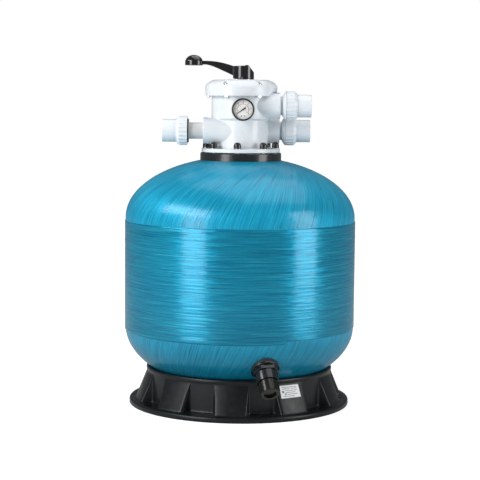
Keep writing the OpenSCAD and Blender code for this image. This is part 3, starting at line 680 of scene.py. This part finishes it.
def ink(name, shapes, thick, material, body, place):
    """Flat outlines in millimetres, given a thickness and put in place with a function of each point."""
    made = bmesh.new()
    for outline in shapes:
        low = [made.verts.new(Vector(place(x, y, 0.0)) * MM) for x, y in outline]
        high = [made.verts.new(Vector(place(x, y, thick)) * MM) for x, y in outline]
        made.faces.new(low[::-1])
        made.faces.new(high)
        for i in range(len(low)):
            j = (i + 1) % len(low)
            made.faces.new((low[i], low[j], high[j], high[i]))
    bmesh.ops.recalc_face_normals(made, faces=made.faces)
    mesh = bpy.data.meshes.new(name)
    made.to_mesh(mesh)
    made.free()
    piece = bpy.data.objects.new(name, mesh)
    bpy.context.collection.objects.link(piece)
    piece.data.materials.append(material)
    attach(piece, body)
    return piece


def arc_outline(r0, r1, start, stop, count):
    """A flat arc band; angles run clockwise in degrees from straight up."""
    a = np.radians(np.linspace(start, stop, count))
    outer = [(r1 * math.sin(t), r1 * math.cos(t)) for t in a]
    inner = [(r0 * math.sin(t), r0 * math.cos(t)) for t in a[::-1]]
    return outer + inner


DIGITS = {
    "0": "abcdef", "1": "bc", "2": "abged", "3": "abgcd", "4": "fgbc", "5": "afgcd", "6": "afgedc",
}
STROKES = {
    "a": ((0, 2), (1, 2)), "b": ((1, 2), (1, 1)), "c": ((1, 1), (1, 0)), "d": ((1, 0), (0, 0)),
    "e": ((0, 0), (0, 1)), "f": ((0, 1), (0, 2)), "g": ((0, 1), (1, 1)),
}


def digit_outlines(text, x, y, size):
    """A number drawn with plain strokes round a centre."""
    wide = size * 0.5
    line = size * 0.085
    shapes = []
    for i, digit in enumerate(text):
        left = x + (i - len(text) / 2) * size * 0.75 + size * 0.12
        for stroke in DIGITS[digit]:
            (x0, y0), (x1, y1) = STROKES[stroke]
            a = (left + x0 * wide, y + (y0 - 1) * size / 2)
            b = (left + x1 * wide, y + (y1 - 1) * size / 2)
            shapes.append([(min(a[0], b[0]) - line, min(a[1], b[1]) - line),
                           (max(a[0], b[0]) + line, min(a[1], b[1]) - line),
                           (max(a[0], b[0]) + line, max(a[1], b[1]) + line),
                           (min(a[0], b[0]) - line, max(a[1], b[1]) + line)])
    return shapes


def digit_on_arc(text, radius, degrees, size):
    """A number centred on a circle, at clockwise degrees from straight up."""
    a = math.radians(degrees)
    return digit_outlines(text, radius * math.sin(a), radius * math.cos(a), size)


def make_dial():
    """The gauge's black outer scale with its numbers, and its red inner one."""
    low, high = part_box("gauge_dial")
    middle_x, _, middle_z = (low + high) / 2 / MM
    front = low[1] / MM - 0.02

    def place(x, y, out):
        return middle_x + x, front - out, middle_z + y

    def angle(step, steps):
        return -SWEEP + 2 * SWEEP * step / steps

    ticks = []
    for i in range(SCALE_STEPS + 1):
        long = i % 5 == 0
        start = 20.6 if long else 21.8
        half = 1.3 if long else 0.6
        at = angle(i, SCALE_STEPS)
        ticks.append(arc_outline(start, 23.6, at - half, at + half, 2))
    for i in range(7):
        ticks += digit_on_arc(str(i), 18.3, angle(i, 6), 3.4)
    for side in (-1, 1):
        left = side * 4 - 1.6
        right = side * 4 + 1.6
        ticks.append([(left, -18.6), (right, -18.6), (right, -15.8), (left, -15.8)])
    ink("dial_marks", ticks, 0.06, DIAL_INK.mat, "filter", place)
    red = [arc_outline(14.4, 15.4, -SWEEP, SWEEP, 90)]
    for i in range(RED_STEPS + 1):
        at = angle(i, RED_STEPS)
        red.append(arc_outline(12.6, 14.5, at - 1.3, at + 1.3, 2))
    for i in range(4):
        red += digit_on_arc(str(2 * i), 10.0, angle(i, 3), 3.0)
    ink("dial_red_scale", red, 0.06, DIAL_RED.mat, "filter", place)


def make_label():
    """Plain bars printed on the data plate, which follows the slope of the lobe."""
    def place(x, y, out):
        radius = foot_radius(y) + PLATE_T + out
        a = math.radians(STAND_TURN + PLATE_TURN) + x / PLATE_ARC_R
        return radius * math.sin(a), -radius * math.cos(a), y

    bars = []
    for z, x0, x1 in ((81.5, 5, 50), (77.5, 5, 28), (77.5, 32, 50), (73.0, 15, 50), (68.5, 15, 44),
                      (64.0, 19, 50), (59.5, 6, 40)):
        steps = np.linspace(x0, x1, 12)
        bars += [[(a, z - 0.6), (b, z - 0.6), (b, z + 0.6), (a, z + 0.6)]
                 for a, b in zip(steps[:-1], steps[1:])]
    for x0, x1, z0, z1 in ((5, 10, 68, 73), (12, 16, 62.5, 66.5)):
        bars.append([(x0, z0), (x1, z0), (x1, z1), (x0, z1)])
    ink("label_bars", bars, 0.05, LABEL_INK.mat, "filter", place)


# ---- the rest of the frame ----

FINISH = {
    "data_plate": LABEL, "neck_flange": NECK, "neck_inserts": BRASS, "neck_o_ring": RUBBER,
    "standpipe": INNER, "lateral_hub": INNER, "laterals": INNER, "top_diffuser": INNER,
    "valve_body": WHITE, "flow_arrows": ARROW, "flange_studs": STEEL, "flange_washers": STEEL,
    "flange_cap_nuts": CAP_BLACK, "spider_gasket": RUBBER, "rotor": ROTOR_GREY, "shaft_o_rings": RUBBER,
    "spring": STEEL, "spring_washer_lower": STEEL, "spring_washer_upper": STEEL, "lid": LID_WHITE,
    "lid_o_ring": RUBBER, "lid_screws": STEEL, "lid_nuts": STEEL, "thrust_washer": STEEL,
    "handle": GLOSS_BLACK, "handle_pin": STEEL, "handle_knob": GLOSS_BLACK, "gauge_stem": BRASS,
    "gauge_case": DARK_CHROME, "gauge_movement": BRASS, "gauge_dial": DIAL, "gauge_needle": DIAL_INK,
    "gauge_lens": LENS, "gauge_bezel": DARK_CHROME, "sight_glass": CLEAR, "sight_glass_washer": RUBBER,
    "waste_o_ring": RUBBER, "waste_tail": WHITE, "waste_nut": WHITE, "pump_adaptor": WHITE,
    "pump_o_ring": RUBBER, "pump_tail": WHITE, "pump_nut": WHITE, "return_adaptor": WHITE,
    "return_o_ring": RUBBER, "return_tail": WHITE, "return_nut": WHITE, "drain_bulkhead": DRAIN_BLACK,
    "drain_gaskets": RUBBER, "drain_screen": INNER, "drain_hex_nut": DRAIN_BLACK, "drain_o_ring": RUBBER,
    "drain_spout": DRAIN_BLACK, "drain_collar": DRAIN_BLACK, "drain_cap_seal": RUBBER,
    "drain_cap": DRAIN_FACE,
}
# The radius each node's edges get, in millimetres
ROUNDED = {
    "data_plate": 0.2, "neck_flange": 0.8, "flow_arrows": 0.3, "flange_washers": 0.3, "flange_cap_nuts": 0.4,
    "lid_screws": 0.5, "lid_nuts": 0.4, "thrust_washer": 0.2, "gauge_stem": 0.4, "gauge_case": 0.5,
    "gauge_bezel": 0.4, "sight_glass": 0.5, "waste_tail": 0.6, "waste_nut": 0.35, "pump_adaptor": 0.8,
    "pump_tail": 0.6, "pump_nut": 0.35, "return_adaptor": 0.8, "return_tail": 0.6, "return_nut": 0.35,
    "drain_bulkhead": 0.6, "drain_hex_nut": 1.2, "drain_spout": 0.5, "drain_collar": 0.6, "drain_cap": 0.7,
}


def mould(name, voxel, passes, keep, body, slot):
    """A copy of a node with its edges and inner corners blended, as they leave a mould."""
    piece = bpy.data.objects.new(name + "_skin", NODES[name].data.copy())
    bpy.context.collection.objects.link(piece)
    weld = piece.modifiers.new("weld", "WELD")
    weld.merge_threshold = WELD_GAP
    cells = piece.modifiers.new("cells", "REMESH")
    cells.mode = "VOXEL"
    cells.voxel_size = voxel * MM
    soft = piece.modifiers.new("soft", "SMOOTH")
    soft.factor = 0.5
    soft.iterations = passes
    fewer = piece.modifiers.new("fewer", "DECIMATE")
    fewer.ratio = keep
    settle(piece)
    piece.data.shade_smooth()
    piece.data.materials.clear()
    piece.data.materials.append(FINISH[name].mat)
    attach(piece, body)
    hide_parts(name)


def make_spring():
    """The return spring, carried with the selector. It keeps one length here, though the real one shortens
    towards the lid as the rotor lifts.
    """
    piece = bpy.data.objects.new("spring_coil", NODES["spring"].data.copy())
    bpy.context.collection.objects.link(piece)
    piece.data.shade_smooth()
    piece.data.materials.clear()
    piece.data.materials.append(STEEL.mat)
    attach(piece, "selector")
    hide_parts("spring")
    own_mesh(piece)


# Nodes that mould() blends: name, voxel in millimetres, smoothing passes, share of faces kept, body, slot
MOULDED = (
    ("valve_body", 1.0, 4, 0.2, "filter", "valve_white"),
    ("lid", 0.55, 2, 0.2, "filter", "valve_white"),
    ("handle", 0.7, 10, 0.4, "handle", "handle_black"),
    ("handle_knob", 0.5, 14, 0.4, "handle", "handle_black"),
)


def finish_nodes():
    """Gives each node of the frame its material, and its edges a real radius."""
    for spec in MOULDED:
        mould(*spec)
    for name, paint in FINISH.items():
        node = NODES[name]
        node.data.materials.clear()
        node.data.materials.append(paint.mat)
        if name not in ROUNDED:
            continue
        weld = node.modifiers.new("weld", "WELD")
        weld.merge_threshold = WELD_GAP
        edge = node.modifiers.new("edge", "BEVEL")
        edge.width = ROUNDED[name] * MM
        edge.segments = 3
        edge.limit_method = "ANGLE"
        edge.angle_limit = math.radians(32)
        edge.use_clamp_overlap = True
        edge.miter_outer = "MITER_ARC"
        shade = node.modifiers.new("shade", "WEIGHTED_NORMAL")
        shade.weight = 60
        shade.keep_sharp = False


# ---- floor, light and camera ----

def make_stage():
    """A pale floor that runs on to a white horizon, under a soft grey room."""
    floor_mesh = bpy.data.meshes.new("floor")
    made = bmesh.new()
    signs = ((-1, -1), (1, -1), (1, 1), (-1, 1))
    corners = [made.verts.new((x * FLOOR_HALF, y * FLOOR_HALF, 0)) for x, y in signs]
    made.faces.new(corners)
    made.to_mesh(floor_mesh)
    made.free()
    floor = bpy.data.objects.new("floor", floor_mesh)
    bpy.context.collection.objects.link(floor)
    paint = Paint("floor_white", (0.6, 0.6, 0.6), 0.8)
    paint.set("Specular IOR Level", 0.1)
    paint.set("Emission Color", (1.0, 1.0, 1.0, 1.0))
    distance = paint.node("ShaderNodeVectorMath", operation="LENGTH")
    paint.link(paint.place(), distance.inputs[0])
    glow = paint.spread(distance.outputs["Value"], FLOOR_GLOW_NEAR, FLOOR_GLOW_FAR, 0.5, 3.0)
    direct = paint.node("ShaderNodeLightPath").outputs["Is Camera Ray"]
    share = paint.spread(direct, FLOOR_BOUNCE, 1.0)
    strength = paint.node("ShaderNodeMath", operation="MULTIPLY")
    paint.link(glow, strength.inputs[0])
    paint.link(share, strength.inputs[1])
    paint.link(strength.outputs["Value"], paint.shader.inputs["Emission Strength"])
    floor.data.materials.append(paint.mat)
    world = bpy.data.worlds.new("studio")
    bpy.context.scene.world = world
    world.use_nodes = True
    tree = world.node_tree
    room = tree.nodes["Background"]
    room.inputs["Color"].default_value = (0.93, 0.97, 1.0, 1.0)
    room.inputs["Strength"].default_value = ROOM_LIGHT
    backdrop = tree.nodes.new("ShaderNodeBackground")
    backdrop.inputs["Color"].default_value = (1.0, 1.0, 1.0, 1.0)
    seen = tree.nodes.new("ShaderNodeLightPath")
    pick = tree.nodes.new("ShaderNodeMixShader")
    tree.links.new(seen.outputs["Is Camera Ray"], pick.inputs["Fac"])
    tree.links.new(room.outputs["Background"], pick.inputs[1])
    tree.links.new(backdrop.outputs["Background"], pick.inputs[2])
    tree.links.new(pick.outputs["Shader"], tree.nodes["World Output"].inputs["Surface"])


def softbox(name, place, target, size, power):
    """A rectangular area light that faces the target."""
    lamp = bpy.data.lights.new(name, "AREA")
    lamp.shape = "RECTANGLE"
    lamp.size = size[0]
    lamp.size_y = size[1]
    lamp.energy = power
    light = bpy.data.objects.new(name, lamp)
    bpy.context.collection.objects.link(light)
    light.location = place
    light.rotation_euler = (Vector(target) - Vector(place)).to_track_quat("-Z", "Y").to_euler()


def make_lights():
    """Two tall boxes at the sides, which draw the bands on the tank, and two above."""
    softbox("strip_left", (-1.79, -1.90, 0.95), (0, 0, 0.55), (1.1, 1.9), 34)
    softbox("strip_right", (2.3, -1.12, 0.95), (0, 0, 0.55), (1.1, 1.9), 34)
    softbox("over_left", (-2.1, -1.2, 2.0), (0, 0, 0.5), (2.4, 0.9), 46)
    softbox("top", (0.5, 0.3, 2.9), (0, 0, 0.5), (3.0, 2.4), 34)


def make_camera():
    lens = bpy.data.cameras.new("camera")
    lens.lens = CAMERA_LENS
    lens.sensor_width = CAMERA_SENSOR
    camera = bpy.data.objects.new("camera", lens)
    bpy.context.collection.objects.link(camera)
    camera.location = CAMERA_PLACE
    camera.rotation_mode = "QUATERNION"
    pitch = math.radians(CAMERA_PITCH)
    look = Vector((0.0, math.cos(pitch), -math.sin(pitch))).to_track_quat("-Z", "Y")
    camera.rotation_quaternion = look @ Quaternion(Vector((0, 0, 1)), math.radians(CAMERA_ROLL))
    bpy.context.scene.camera = camera
    bpy.context.scene.view_settings.view_transform = "Standard"
    bpy.context.scene.view_settings.look = "None"


make_tank()
make_hoop()
make_stand()
make_dial()
make_label()
make_spring()
finish_nodes()
make_stage()
make_lights()
make_camera()
